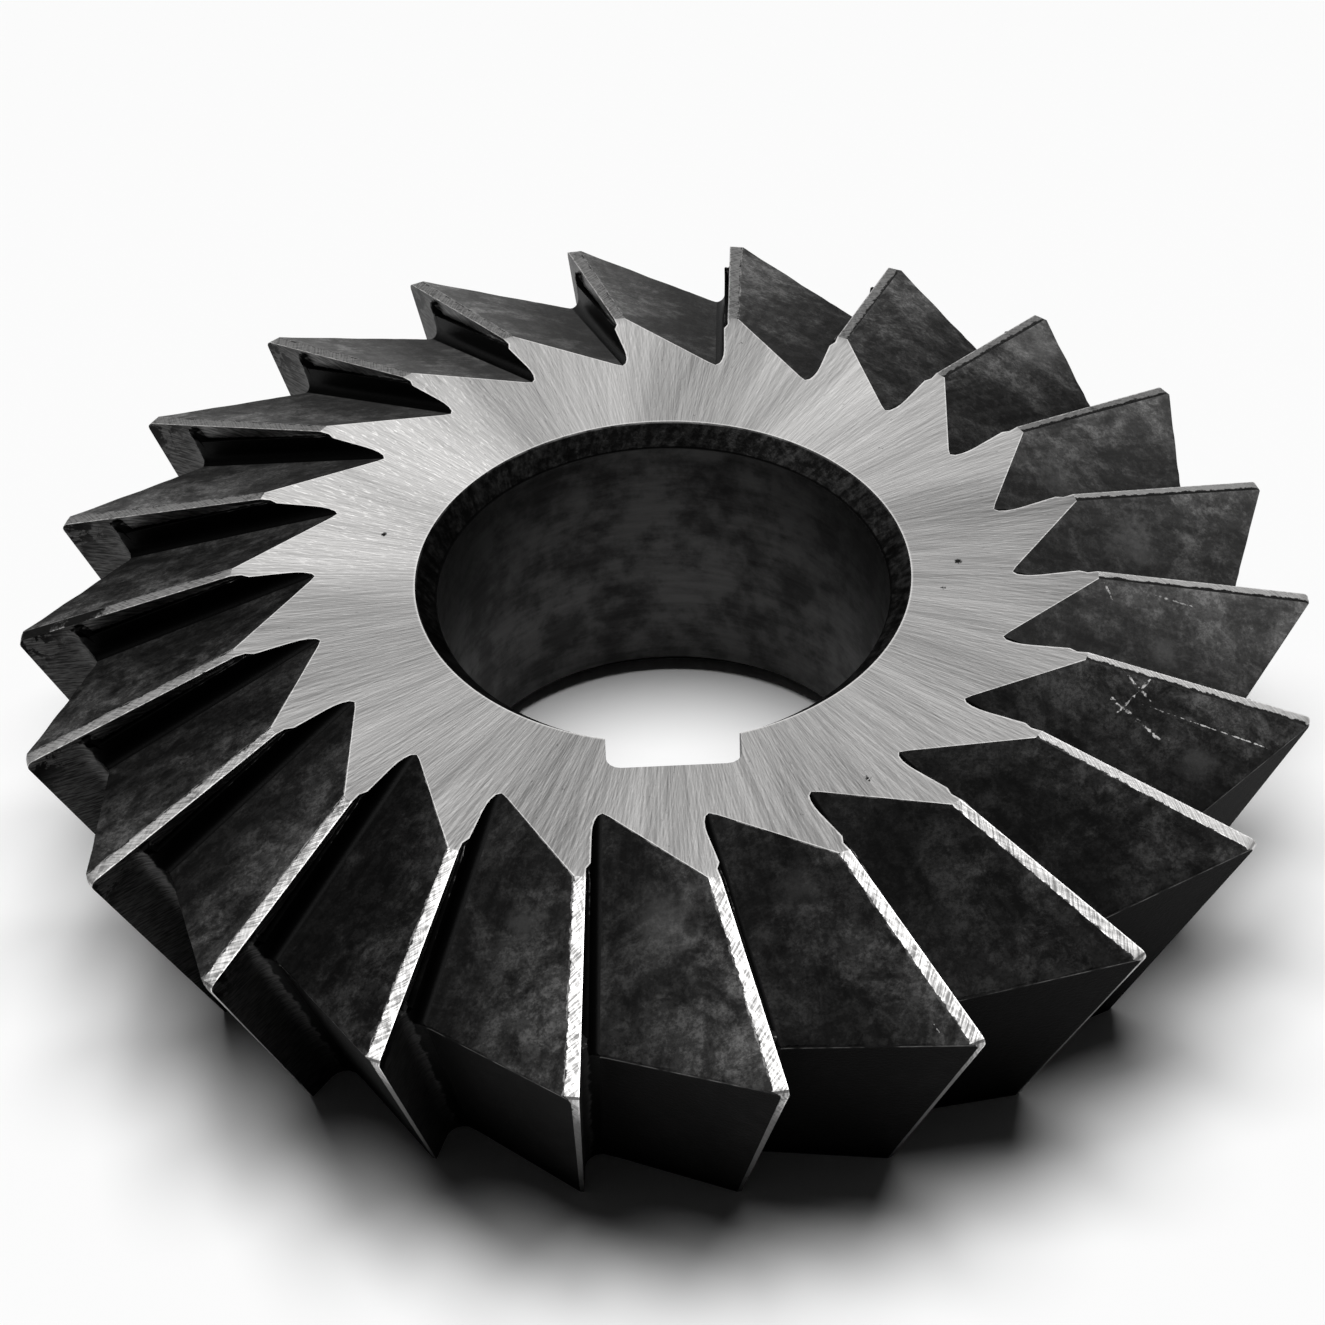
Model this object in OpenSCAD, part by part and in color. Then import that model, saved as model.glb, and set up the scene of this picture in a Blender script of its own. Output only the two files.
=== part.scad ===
// Unequal double angle milling cutter, one solid of tool steel.
// It lies on its lower side face, with the bore axis along Z and the origin
// on that axis at the lower face. The small angle is on the upper side.
// Seen from above, the teeth point counter-clockwise.

/* [Blank] */
// Diameter over the tooth tips
cutter_d = 63; // [60:0.5:70]
// Width between the two side faces
width = 16; // [15.6:0.1:17]
// Distance of the tips below the upper face
tip_drop = 2.85; // [2.5:0.05:3]
// Angle between the upper cone and the side face
top_angle = 15; // [14:0.5:17]
// Angle between the two cones at the tips
included_angle = 80; // [76:1:84]
// Radius that rounds the tips
tip_round = 0.3; // [0.2:0.1:0.8]

/* [Bore and keyway] */
// Diameter of the bore that fits the arbor
bore_d = 22; // [16:1:24]
// Size of the 45 degree chamfer at each end of the bore
bore_chamfer = 1; // [0.3:0.1:1.5]
// Width of the keyway
key_w = 6.25; // [4:0.05:8]
// Depth of the keyway floor beyond the bore wall
key_depth = 2.6; // [2:0.1:3]
// Radius in the two corners of the keyway floor
key_round = 0.7; // [0.3:0.1:1.2]
// Direction of the keyway around the axis
key_turn = -89; // [-180:0.5:180]

/* [Teeth] */
// Number of teeth
teeth = 22; // [18:1:26]
// Direction of one tip around the axis
tooth_turn = 0.3; // [0:0.1:16]
// Rake angle of the cutting faces, seen along the axis
rake = 6; // [0:1:10]

/* [Upper gullets] */
// Radius at which the root of an upper gullet runs out on the upper face
top_root_r = 16.5; // [15.5:0.1:18]
// Width of the ground land where the upper edge meets the upper face
top_land = 0.55; // [0.3:0.05:1]
// Width of the ground land of the upper edge at the tip
top_tip_land = 0.75; // [0.4:0.05:1.1]
// Radius in the root of the upper gullets
top_root_round = 0.45; // [0.2:0.05:0.8]
// Distance that the milled wall stands ahead of the tip
wall_proud = 0.3; // [0.1:0.05:0.4]
// Width of the ground margin under the upper edge, at its outer end
margin_w = 0.85; // [0.4:0.05:1]
// Distance from the tip to the outer end of the margin
margin_end = 3.2; // [3:0.1:5]
// Distance past the rim of the upper face at which the margin runs out
margin_run = 0.8; // [0.5:0.1:2]
// Width of the ground strip that joins the margin to the tip
strip_w = 0.15; // [0.1:0.05:0.3]

/* [Lower gullets] */
// Depth of the lower gullets behind the tips, at the height of the tips
low_depth = 3.5; // [2.8:0.1:4]
// Width of the ground land of the lower edge at the tip
low_tip_land = 0.55; // [0.3:0.05:0.8]
// Width of the ground land where the lower edge meets the lower face
low_land = 0.2; // [0.1:0.05:0.4]
// Radius in the root of the lower gullets
low_root_round = 0.8; // [0.3:0.1:1]
// Lean of the ground cutting faces out of the axis direction
face_lean = 2; // [0:0.5:3]

/* [Hidden] */

// Facets of a preview circle.
$fn = 8 * teeth;

tip_r = cutter_d / 2;
tip_h = width - tip_drop;
bore_r = bore_d / 2;
pitch = 360 / teeth;
low_angle = included_angle - top_angle;
half_angle = included_angle / 2;

// The cones meet at a sharp corner, which the tip radius then takes off.
corner_to_arc = tip_round / sin(half_angle);
arc_lean = low_angle - half_angle;
corner_r = tip_r + corner_to_arc * cos(arc_lean) - tip_round;
top_r = corner_r - tip_drop / tan(top_angle);
low_r = corner_r - tip_h / tan(low_angle);

// Distance that the gullet cuts reach past the blank.
past = width / 2;

// Points along an arc around a centre, evenly spread between two directions.
function arc(centre, radius, start, stop, steps) =
    [for (i = [0:steps])
        let (a = start + (stop - start) * i / steps)
        centre + radius * [cos(a), sin(a)]];

function turned(p, a) = [p.x * cos(a) - p.y * sin(a), p.x * sin(a) + p.y * cos(a), p.z];
function leaned(p, a) = [p.x, p.y * cos(a) - p.z * sin(a), p.y * sin(a) + p.z * cos(a)];

// A point of a tooth's own frame, seen from its tip and cutting face:
// X runs out along the face, Y points ahead of it and Z is up.
function on_face(p) = turned(p - [tip_r, 0, tip_h], -rake);

// Direction of a point of the cutting face, where the face is shifted back
// by a distance and the point lies at a radius.
function face_turn(r, back = 0) = rake - asin((tip_r * sin(rake) + back) / r);

// Back corner of the land on the next tooth, at a radius and a height.
function land_back(r, z, land, back = 0) =
    let (a = pitch + face_turn(r, back) - land / r * 180 / PI)
    [r * cos(a), r * sin(a), z];

// Slope of a gullet's root in its wall, and the angle between the wall and the
// back of the next tooth, for a back that holds a root point and two corners.
function back_normal(root, a, b) = cross(a - root, b - root);
function root_slope(root, a, b) =
    let (n = back_normal(root, a, b))
    atan(n.x / n.z);
function opening(root, a, down) =
    let (d = a - root)
    atan2(d.y, d.x * sin(down) + d.z * cos(down));

// The ground face leans, so it lies back at the lower face and ahead at the upper.
low_back = tip_h * tan(face_lean);
top_back = -tip_drop * tan(face_lean);

// Upper gullet: root point on the upper face, and the two corners of the land.
top_wall = tip_r * sin(rake) - wall_proud;
top_root = [sqrt(top_root_r ^ 2 - top_wall ^ 2) - tip_r * cos(rake), wall_proud, tip_drop];
top_corner = on_face(land_back(top_r, width, top_land, top_back));
top_tip_corner = on_face(land_back(tip_r, tip_h, top_tip_land));
top_down = root_slope(top_root, top_corner, top_tip_corner);
top_opening = opening(top_root, top_corner, top_down);

// Lower gullet: root point level with the tip, and the two corners of the land.
low_root = [-low_depth, 0, 0];
low_corner = leaned(on_face(land_back(low_r, 0, low_land, low_back)), face_lean);
low_tip_corner = leaned(on_face(land_back(tip_r, tip_h, low_tip_land)), face_lean);
low_slope = root_slope(low_root, low_tip_corner, low_corner);
low_down = low_slope < 0 ? low_slope + 180 : low_slope;
low_opening = opening(low_root, low_corner, low_down);

module blank_profile() {
    tip_centre = [corner_r, tip_h] - corner_to_arc * [cos(arc_lean), sin(arc_lean)];
    polygon(concat(
        [[bore_r + bore_chamfer, 0], [low_r, 0]],
        arc(tip_centre, tip_round, low_angle - 90, 90 - top_angle, 4),
        [
            [top_r, width],
            [bore_r + bore_chamfer, width],
            [bore_r, width - bore_chamfer],
            [bore_r, bore_chamfer]
        ]
    ));
}

module blank() {
    rotate_extrude()
        blank_profile();
}

// Keyway outline from the axis to the floor, with both floor corners rounded.
module keyway_profile() {
    corner = [bore_r + key_depth - key_round, key_w / 2 - key_round];
    polygon(concat(
        [[0, -key_w / 2]],
        arc([corner.x, -corner.y], key_round, -90, 0, 8),
        arc(corner, key_round, 0, 90, 8),
        [[0, key_w / 2]]
    ));
}

module keyway() {
    rotate([0, 0, key_turn])
        translate([0, 0, -past])
            linear_extrude(width + 2 * past)
                keyway_profile();
}

// Gullet outline: X ahead of the wall, Y away from the root, which is rounded.
module gullet_profile(angle, root_round) {
    centre = [root_round, root_round / tan(angle / 2)];
    polygon(concat(
        arc(centre, root_round, 180, 360 - angle, 8),
        [[past * tan(angle), past], [0, past]]
    ));
}

// Gullet cut along a root that drops by an angle as it runs on along X.
module gullet(root, down, angle, root_round, reach) {
    translate(root)
        rotate([0, down, 0])
            translate([-reach, 0, 0])
                rotate([90, 0, 90])
                    linear_extrude(3 * reach)
                        gullet_profile(angle, root_round);
}

module upper_gullet() {
    gullet(top_root, top_down, top_opening, top_root_round, past);
}

module lower_gullet() {
    gullet(low_root, low_down, low_opening, low_root_round, past);
}

// Margin outline under an edge that runs along X: a strip from the tip, a step to
// the full width, and a taper that runs out on the upper face.
module margin_profile() {
    rim = (tip_r - top_r) / cos(top_angle);
    run_out = [-rim - margin_run * cos(top_angle), -margin_run * sin(top_angle)];
    polygon([
        [margin_w, strip_w],
        [run_out.x, strip_w],
        run_out,
        [-margin_end, -margin_w],
        [-margin_end, -strip_w],
        [margin_w, -strip_w]
    ]);
}

// Ground margin, a shallow cut into the milled wall along the upper edge.
module margin() {
    rotate([0, top_angle, 0])
        rotate([90, 0, 0])
            translate([0, 0, -2 * wall_proud])
                linear_extrude(2 * wall_proud)
                    margin_profile();
}

module tooth_cuts() {
    translate([tip_r, 0, tip_h])
        rotate([0, 0, rake]) {
            upper_gullet();
            rotate([-face_lean, 0, 0]) {
                lower_gullet();
                margin();
            }
        }
}

module cutter() {
    color([0.6, 0.6, 0.61])
        difference() {
            blank();
            keyway();
            for (i = [0:teeth - 1])
                rotate([0, 0, tooth_turn + i * pitch])
                    tooth_cuts();
        }
}

cutter();
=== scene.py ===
# %% [markdown]
# # A double angle milling cutter
#
# This lesson dresses one solid part: a milling cutter with a bore, a keyway and 22 teeth, each with
# an upper and a lower cutting edge. The real tool is turned, milled, hardened and then ground. Only
# the ground places are bright, so most of its look is where one finish stops and the next begins.
#
# Lengths are in millimetres up to the point where a mesh is made. The drawing sizes are the ones of
# the CAD source.

import bpy
import numpy as np
from mathutils import Matrix


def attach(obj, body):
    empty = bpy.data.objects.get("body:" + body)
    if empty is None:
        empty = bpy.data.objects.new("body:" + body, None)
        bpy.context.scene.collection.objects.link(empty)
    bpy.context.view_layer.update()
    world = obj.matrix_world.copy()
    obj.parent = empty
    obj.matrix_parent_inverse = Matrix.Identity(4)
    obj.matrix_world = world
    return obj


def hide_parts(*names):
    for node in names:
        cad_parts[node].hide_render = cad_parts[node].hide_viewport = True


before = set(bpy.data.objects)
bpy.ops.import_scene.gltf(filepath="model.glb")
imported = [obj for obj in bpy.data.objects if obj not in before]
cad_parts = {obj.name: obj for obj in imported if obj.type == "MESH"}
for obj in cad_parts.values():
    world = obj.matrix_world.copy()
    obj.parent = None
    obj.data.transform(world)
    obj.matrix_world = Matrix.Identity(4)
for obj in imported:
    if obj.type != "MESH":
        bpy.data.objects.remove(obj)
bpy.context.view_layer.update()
MM = 0.001

# %% [markdown]
# ## The camera
#
# The photograph is a square picture from above the near side, with a fairly long lens. The camera
# was fitted to the picture from the tips of the teeth, so the values are kept as measured: how high
# it stands, how far off, how much it rolls and how long its lens is.

# %% Place the camera
CAMERA_HEIGHT = np.radians(41.453)
CAMERA_ROLL = np.radians(-1.901)
CAMERA_DISTANCE = 188.607
LOOKED_AT = np.array([-0.156, 2.579, 8.0])
PICTURE_SIDE = 1325
FOCAL_PIXELS = 3751.46
SENSOR = 36.0


def camera_frame(height, roll):
    """Right, up and forward of a camera that looks along +Y and down, turned about its own axis."""
    forward = np.array([0, np.cos(height), -np.sin(height)])
    right = np.array([1.0, 0, 0])
    up = np.cross(right, forward)
    c, s = np.cos(roll), np.sin(roll)
    return c * right + s * up, c * up - s * right, forward


right, up, forward = camera_frame(CAMERA_HEIGHT, CAMERA_ROLL)
placing = np.eye(4)
placing[:3, :3] = np.stack([right, up, -forward], 1)
placing[:3, 3] = (LOOKED_AT - CAMERA_DISTANCE * forward) * MM
camera = bpy.data.objects.new("camera", bpy.data.cameras.new("camera"))
camera.matrix_world = Matrix(placing)
camera.data.sensor_width = SENSOR
camera.data.lens = FOCAL_PIXELS / PICTURE_SIDE * SENSOR
bpy.context.scene.collection.objects.link(camera)
bpy.context.scene.camera = camera
print("camera at", np.round(placing[:3, 3], 4), "m, lens", round(camera.data.lens, 2), "mm")

# %% [markdown]
# ## The drawing
#
# A cutter like this is drawn with few sizes: a turned blank, and two sets of gullets milled into
# it. They are repeated here from the CAD source.

# %% Sizes of the blank
TIP_R = 31.5  # radius over the tips
WIDTH = 16.0  # between the two side faces
TIP_H = 13.15  # height of the tips above the lower side face
TOP_SLOPE = np.radians(15)  # upper cone against the side face
LOW_SLOPE = np.radians(65)  # lower cone against the side face
TIP_ROUND = 0.3  # radius that rounds the tips
BORE_R = 11.0
CHAMFER = 1.0  # at 45 degrees, at both ends of the bore
KEY_W = 6.25  # width of the keyway
KEY_DEPTH = 2.6  # its floor beyond the bore wall
KEY_ROUND = 0.7  # in the two corners of its floor
KEY_TURN = np.radians(-89)  # its direction round the axis

half_angle = (TOP_SLOPE + LOW_SLOPE) / 2
arc_lean = LOW_SLOPE - half_angle
corner_to_arc = TIP_ROUND / np.sin(half_angle)
corner_r = TIP_R + corner_to_arc * np.cos(arc_lean) - TIP_ROUND
top_r = corner_r - (WIDTH - TIP_H) / np.tan(TOP_SLOPE)
low_r = corner_r - TIP_H / np.tan(LOW_SLOPE)
print("rims at radius", round(top_r, 2), "above and", round(low_r, 2), "mm below")

# %% Sizes of the teeth
TEETH = 22
PITCH = 2 * np.pi / TEETH
TOOTH_TURN = np.radians(0.3)  # direction of one tip round the axis
RAKE = np.radians(6)  # of the cutting faces, seen along the axis
LEAD = np.radians(2)  # lean of the ground cutting faces out of the axis
PROUD = 0.3  # distance of the milled upper wall ahead of the tip
TOP_ROOT_R = 16.5  # radius at which an upper root runs out on the upper face
TOP_ROOT_ROUND = 0.45  # radius in the upper root
TOP_LAND = 0.55  # width of the land where the upper edge meets the upper face
TOP_TIP_LAND = 0.75  # width of that land at the tip
MARGIN_W = 0.85  # width of the ground margin under the upper edge, at its outer end
MARGIN_END = 3.2  # from the tip to that end
MARGIN_RUN = 0.8  # past the rim, to where the margin runs out on the upper face
STRIP_W = 0.15  # width of the ground strip that joins the margin to the tip
LOW_DEPTH = 3.5  # of a lower gullet behind the tips, at their height
LOW_ROOT_ROUND = 0.8  # radius in the lower root
LOW_LAND = 0.2  # width of the land where the lower edge meets the lower face
LOW_TIP_LAND = 0.55  # width of that land at the tip
print(TEETH, "teeth,", round(PITCH * TIP_R, 2), "mm from tip to tip along the rim")

# %% [markdown]
# ## The frame of one tooth
#
# All teeth are alike, so the work is done once, in a frame that sits on the tip of a tooth: X runs
# out along its cutting face, Y points ahead of the face into the gullet, and Z is up. The lower
# gullets lean a little about X, which is a turn of the same frame.


# %% Frames
def turned(p, angle):
    """Points turned about Z: x cos a - y sin a, x sin a + y cos a."""
    c, s = np.cos(angle), np.sin(angle)
    return np.stack([p[..., 0] * c - p[..., 1] * s, p[..., 0] * s + p[..., 1] * c, p[..., 2]], -1)


def leaned(p, angle):
    """Points turned about X: y cos a - z sin a, y sin a + z cos a."""
    c, s = np.cos(angle), np.sin(angle)
    return np.stack([p[..., 0], p[..., 1] * c - p[..., 2] * s, p[..., 1] * s + p[..., 2] * c], -1)


TIP = np.array([TIP_R, 0, TIP_H])
AXIS = np.array([TIP_R * np.cos(RAKE), -TIP_R * np.sin(RAKE)])


def on_face(p):
    """From the cutter's frame into the tooth's: less the tip, then turned back by the rake."""
    return turned(p - TIP, -RAKE)


def off_face(q):
    """From the tooth's frame into the cutter's: turned by the rake, then moved to the tip."""
    return turned(q, RAKE) + TIP


def land_corner(r, z, land, back=0.0):
    """Back corner of the next tooth's land: one pitch on, less the land's width over the radius."""
    angle = PITCH + RAKE - np.arcsin((TIP_R * np.sin(RAKE) + back) / r) - land / r
    return np.array([r * np.cos(angle), r * np.sin(angle), z])


# %% [markdown]
# ## Two gullets
#
# A gullet is a straight groove: a wall (the cutting face), a round root, and the back of the next
# tooth. Three points settle its plane back: one of the root and two corners of the land. The rest
# follows: how steeply the root drops, and how wide the groove opens.


# %% Gullets from three points
class Gullet:
    """A straight groove with a root line, an opening angle and a round root."""

    def __init__(self, root, inner, outer, radius, lean=0.0):
        """The cross product of the ways from the root to both corners is square to the back. Its
        X and Z give the drop of the root; the way to the inner corner gives the opening."""
        square = np.cross(inner - root, outer - root)
        down = np.arctan2(square[0], square[2]) % np.pi
        way = inner - root
        self.opening = np.arctan2(way[1], way[0] * np.sin(down) + way[2] * np.cos(down))
        self.radius = radius
        self.tangent = radius / np.tan(self.opening / 2)
        s, c = np.sin(down), np.cos(down)
        axes = np.array([[c, 0, -s], [s, 0, c], [0, 1, 0]])
        self.root = leaned(root, -lean)
        self.along, self.up, self.ahead = leaned(axes, -lean)
        print("root drops", round(np.degrees(down), 2), "opens", round(np.degrees(self.opening), 2))

    def across(self, q):
        """Height above the root along the wall, and distance ahead of the wall."""
        return (q - self.root) @ self.up, (q - self.root) @ self.ahead

    def place(self, height, ahead, z):
        """Points of the groove's outline, slid along the groove to a level z."""
        q = self.root + np.multiply.outer(height, self.up) + np.multiply.outer(ahead, self.ahead)
        return q + ((z - q[..., 2]) / self.along[2])[..., None] * self.along


wall_offset = TIP_R * np.sin(RAKE) - PROUD
top_root = np.array([np.sqrt(TOP_ROOT_R**2 - wall_offset**2) - AXIS[0], PROUD, WIDTH - TIP_H])
upper = Gullet(
    top_root,
    on_face(land_corner(top_r, WIDTH, TOP_LAND, (TIP_H - WIDTH) * np.tan(LEAD))),
    on_face(land_corner(TIP_R, TIP_H, TOP_TIP_LAND)),
    TOP_ROOT_ROUND,
)
lower = Gullet(
    np.array([-LOW_DEPTH, 0, 0]),
    leaned(on_face(land_corner(low_r, 0, LOW_LAND, TIP_H * np.tan(LEAD))), LEAD),
    leaned(on_face(land_corner(TIP_R, TIP_H, LOW_TIP_LAND)), LEAD),
    LOW_ROOT_ROUND,
    LEAD,
)

# %% [markdown]
# ## The whole gap as one height
#
# Wall, roots and backs could be four meshes, but they meet in curves that are hard to stitch. Seen
# along a slanted direction that faces them all, they are one height over a flat: the higher of wall
# and back gives a gullet, with a circle in its root, and the lower of the two gullets gives what is
# left. A shallow ground margin under the upper edge lies deeper than the milled wall beside it.

# %% Slanted flat
LOOK_TURN = np.radians(36)
LOOK_RISE = np.radians(24)
level_part = np.cos(LOOK_TURN)
LOOK = np.array([level_part * np.cos(LOOK_RISE), np.sin(LOOK_TURN), level_part * np.sin(LOOK_RISE)])


def flat(q):
    """Points dropped along LOOK onto the plane through the tip that is square to it."""
    return q - (q @ LOOK)[..., None] * LOOK


# %% Milled wall and its ground margin
SHELF = 0.06  # width over which the wall steps down into the margin


def margin_distance(x, z):
    """Distance from the ground margin: a strip along the whole edge, and a taper from its outer end
    to where it runs out on the upper face. Inside both it is negative."""
    inward = x * np.cos(TOP_SLOPE) - z * np.sin(TOP_SLOPE)
    below = -x * np.sin(TOP_SLOPE) - z * np.cos(TOP_SLOPE)
    run_x = -(TIP_R - top_r) / np.cos(TOP_SLOPE) - MARGIN_RUN * np.cos(TOP_SLOPE)
    taper = np.interp(inward, [run_x, -MARGIN_END], [MARGIN_RUN * np.sin(TOP_SLOPE), MARGIN_W])
    full = np.maximum(np.maximum(below - taper, inward + MARGIN_END), run_x - inward)
    return np.minimum(below - STRIP_W, full)


def wall_level(x, z):
    """Level of the milled wall: proud, and down to the leaning ground face inside the margin."""
    ground_face = z * np.tan(LEAD)
    step = np.clip(margin_distance(x, z) / SHELF + 0.5, 0, 1)
    return ground_face + (PROUD - ground_face) * step


# %% Height of the gap over the flat
def groove_height(gullet, o, level=0.0):
    """Height at which a line along LOOK meets a groove: the higher of its two planes or, in the
    root, the circle, where the near answer of a quadratic equation is the one that counts."""
    height, ahead = gullet.across(o)
    rise, lead = LOOK @ gullet.up, LOOK @ gullet.ahead
    s, c = np.sin(gullet.opening), np.cos(gullet.opening)
    wall = (level - ahead) / lead
    back = (ahead * c - height * s) / (rise * s - lead * c)
    above, off = height - gullet.tangent, ahead - gullet.radius
    a = rise**2 + lead**2
    b = above * rise + off * lead
    inside = b * b - a * (above**2 + off**2 - gullet.radius**2)
    circle = (-b - np.sqrt(np.maximum(inside, 0))) / a
    met, met_ahead = height + circle * rise, ahead + circle * lead
    below_tangents = (met < gullet.tangent) & (met * c + met_ahead * s < gullet.tangent)
    return np.where((inside > 0) & below_tangents, circle, np.maximum(wall, back))


def on_gap(o):
    """Points of the gap over the flat: the lower of both grooves, kept between the side faces."""
    guess = o + ((PROUD / 2 - o[..., 1]) / LOOK[1])[..., None] * LOOK
    level = wall_level(guess[..., 0], guess[..., 2]) - PROUD
    h = np.minimum(groove_height(upper, o, level), groove_height(lower, o))
    h = np.clip(h, (-TIP_H - o[..., 2]) / LOOK[2], (WIDTH - TIP_H - o[..., 2]) / LOOK[2])
    return o + h[..., None] * LOOK


# %% [markdown]
# ## Border curves of the gap
#
# A grid of rows crosses the gap from the cutting edge over the root to the back corner of the next
# land. So its two borders have to be known exactly: along the upper face, down the upper cone,
# round the tip, down the lower cone and along the lower face.

# %% Rows down the outline of the blank
ROWS_TOP = 10  # on the upper face, from the end of the root to the rim
ROWS_CONE = 22  # down the upper cone to the outer end of the margin
ROWS_NEAR = 8  # from there to the tip
ROWS_TIP = 4  # round the tip
ROWS_LOW = 26  # down the lower cone
ROWS_BOTTOM = 9  # on the lower face
END_GAP = 0.1  # between the two rows on either side of the margin's end


def blank_outline():
    """Radius and height of rows down the upper cone, round the tip and down the lower cone."""
    to_centre = corner_to_arc * np.array([np.cos(arc_lean), np.sin(arc_lean)])
    centre = np.array([corner_r, TIP_H]) - to_centre
    angle = np.linspace(np.pi / 2 - TOP_SLOPE, LOW_SLOPE - np.pi / 2, ROWS_TIP + 1)
    arc = centre + TIP_ROUND * np.stack([np.cos(angle), np.sin(angle)], -1)
    near = TIP_R - MARGIN_END * np.cos(TOP_SLOPE) + END_GAP / 2
    cone = np.linspace(top_r, near - END_GAP, ROWS_CONE)
    r_up = np.r_[cone, np.linspace(near, arc[0, 0], ROWS_NEAR + 1)]
    r_low = np.linspace(arc[-1, 0], low_r, ROWS_LOW + 1)[1:]
    z_up = WIDTH - (r_up - top_r) * np.tan(TOP_SLOPE)
    z_low = (r_low - low_r) * np.tan(LOW_SLOPE)
    return np.r_[r_up, arc[1:, 0], r_low], np.r_[z_up, arc[1:, 1], z_low] - TIP_H


out_r, out_z = blank_outline()
RIM = ROWS_TOP
WAIST = RIM + ROWS_CONE
AT_TIP = WAIST + ROWS_NEAR + ROWS_TIP // 2
LOW_RIM = RIM + len(out_r) - 1
print("rim at row", RIM, "waist at", WAIST, "tip at", AT_TIP, "lower rim at", LOW_RIM)

# %% Cutting edge
FAR = 9.0  # a distance past everything that it is compared with


def face_level(x, z):
    """Level of the cutting face: the lower of the wall with its margin and the lower gullet."""
    q = np.stack([x, np.zeros_like(x), z], -1)
    height, ahead = lower.across(q)
    short = np.clip(lower.tangent - height, 0, lower.radius)
    level = lower.radius - np.sqrt(lower.radius**2 - short**2)
    level = np.where(height < lower.tangent - lower.radius, FAR, level)
    return np.minimum(wall_level(x, z), (level - ahead) / lower.ahead[1])


def edge_curve(r, z):
    """The cutting edge: where the face, at its level, meets the circle of radius r at height z. The
    level depends a little on the place, so the place is worked out three times over."""
    y = np.zeros_like(r)
    for _ in range(3):
        x = np.sqrt(r**2 - (y + AXIS[1]) ** 2) - AXIS[0]
        y = face_level(x, z)
    return np.stack([x, y, z], -1)


edge = edge_curve(out_r, out_z)
print("upper edge ends", round(np.hypot(*(edge[0, :2] + AXIS)), 2), "mm from the axis")


# %% Back corner of the lands
def back_curve(gullet, r, z):
    """Where a plane back meets the circle of radius r at height z, and the angle of that point. The
    plane's level part points to a middle, and the cosine from it is the reach over the radius."""
    square = np.sin(gullet.opening) * gullet.up - np.cos(gullet.opening) * gullet.ahead
    reach = square @ gullet.root - square[2] * z + square[:2] @ AXIS
    middle = np.arctan2(square[1], square[0])
    spread = np.arccos(np.clip(reach / (np.hypot(*square[:2]) * r), -1, 1))
    both = (middle + np.stack([spread, -spread]) + np.pi) % (2 * np.pi) - np.pi
    expected = PITCH - RAKE
    angle = np.take_along_axis(both, np.argmin(np.abs(both - expected), 0)[None], 0)[0]
    return angle, np.stack([r * np.cos(angle) - AXIS[0], r * np.sin(angle) - AXIS[1], z], -1)


angle_up, back_up = back_curve(upper, out_r, out_z)
angle_low, back_low = back_curve(lower, out_r, out_z)
back = np.where((angle_up > angle_low)[:, None], back_up, back_low)
print((angle_up > angle_low).sum(), "rows end on an upper back,", len(back), "in all")

# %% Mouths of the gullets on the side faces
MOUTH_CROWD = 1.2  # crowds the rows of the upper face towards the end of the root


def walk(points, steps, power=1.0):
    """Points at even or crowded lengths along a polyline."""
    run = np.r_[0, np.cumsum(np.linalg.norm(np.diff(points, axis=0), axis=1))]
    at = run[-1] * np.linspace(0, 1, steps + 1) ** power
    return np.stack([np.interp(at, run, points[:, k]) for k in range(3)], -1)


def mouth(gullet, z, corner, on_back):
    """Border of a gullet on a side face, from the bottom of its round root out to a corner."""
    lean = gullet.opening if on_back else 0
    end = np.hypot(*gullet.across(corner)) if on_back else gullet.across(corner)[0]
    angle = np.linspace(np.pi, gullet.opening + np.pi / 2 if on_back else 1.5 * np.pi, 30)
    straight = np.linspace(gullet.tangent, end, 200)[1:]
    height = np.r_[gullet.tangent + gullet.radius * np.cos(angle), straight * np.cos(lean)]
    ahead = np.r_[gullet.radius + gullet.radius * np.sin(angle), straight * np.sin(lean)]
    return gullet.place(height, ahead, z)


def joined(top, cone, bottom):
    """A whole border: out from the upper root, down the cones, and in to the lower root."""
    down_top = walk(top, ROWS_TOP, MOUTH_CROWD)[:-1]
    return np.r_[down_top, cone, walk(bottom[::-1], ROWS_BOTTOM)[1:]]


face_top = mouth(upper, WIDTH - TIP_H, edge[0], False)
on_wall = face_top[:, 1] < PROUD + 1e-6
face_top[on_wall, 1] = wall_level(face_top[on_wall, 0], face_top[on_wall, 2])
face_side = joined(face_top, edge, mouth(lower, -TIP_H, edge[-1], False))
back_top = mouth(upper, WIDTH - TIP_H, back[0], True)
back_side = joined(back_top, back, mouth(lower, -TIP_H, back[-1], True))
rows = len(face_side)
print(rows, "rows, from radius", round(np.hypot(*(face_side[0, :2] + AXIS)), 2), "mm")

# %% [markdown]
# ## Root line and grid
#
# The rows fold at the root. It runs down the upper gullet to the waist, where the lower gullet cuts
# it off, and on down that one. Near the waist the rows open like a fan, so that one of them lies on
# the ridge between the two backs and one on the border between the two cutting faces.

# %% Root line
ROOT_SEARCH = np.linspace(0, 14, 4001)  # places along the upper root that are tried for the waist
FAN_SHARE = 0.02  # share of the lower root for the rows between the waist and the tip


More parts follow.
